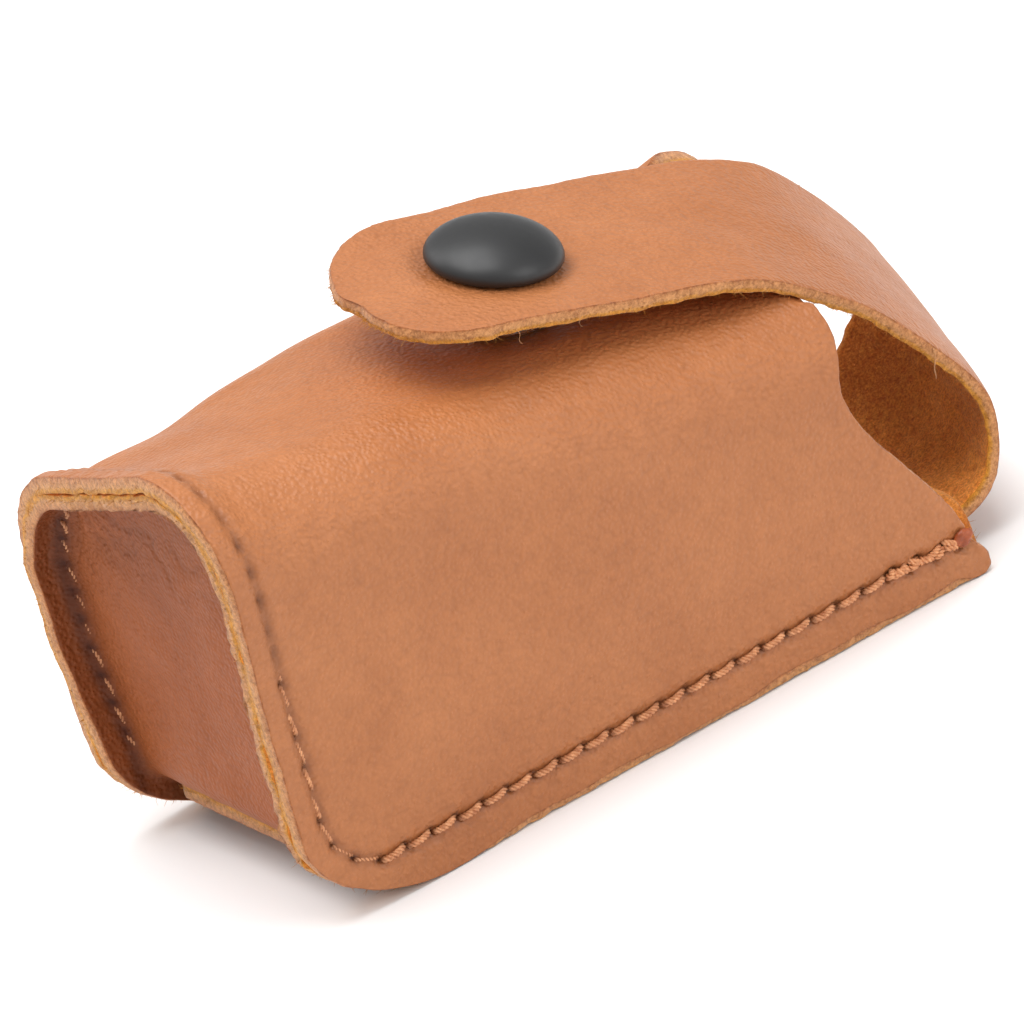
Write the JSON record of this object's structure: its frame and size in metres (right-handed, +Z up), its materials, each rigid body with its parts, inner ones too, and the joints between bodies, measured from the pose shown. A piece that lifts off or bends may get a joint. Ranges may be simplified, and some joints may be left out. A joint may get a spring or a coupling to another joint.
{
  "type": "pick holder",
  "caption": "Small tan leather pick case with a stitched gusset, an open mouth and a strap that loops round the mouth and snaps shut on top.",
  "frame": {"origin": "centre of the footprint, on the plane the bottom edges of the flanges stand on", "axes": "+X from the closed end towards the mouth, +Y from front to back, +Z up"},
  "size_m": [0.088, 0.0356, 0.0452],
  "materials": {
    "leather": "smooth grained outside, suede inside",
    "thread": "waxed twisted thread",
    "black_metal": "gloss black",
    "bare_metal": "plated"
  },
  "bodies": {
    "pouch": {"wrap_panel": "leather", "gusset": "leather", "strap_base": "leather", "snap_stud": "bare_metal", "stud_post": "black_metal", "seam_front": "thread", "seam_front_end": "thread", "seam_top": "thread", "seam_back_end": "thread", "seam_back": "thread", "bartack_front": "thread", "bartack_back": "thread", "thread_end_front": "thread", "thread_end_back": "thread"},
    "loop": {"strap_loop": "leather"},
    "flap": {"strap_flap": "leather", "snap_cap": "black_metal", "snap_socket": "bare_metal", "snap_spring": "bare_metal"}
  },
  "joints": [
    {"name": "loop_bend", "type": "hinge", "parent": "pouch", "child": "loop", "pos_m": [0.04053, 0, 0.0134], "axis": [0.2775, 0.9512, 0.1348], "range_deg": [0, 45]},
    {"name": "flap_bend", "type": "hinge", "parent": "loop", "child": "flap", "pos_m": [0.02034, 0, 0.03512], "axis": [0.2787, 0.9557, 0.0945], "range_deg": [0, 120]}
  ],
  "couplings": [
    {"joint": "loop_bend", "follows": "flap_bend", "ratio": 0.375}
  ]
}
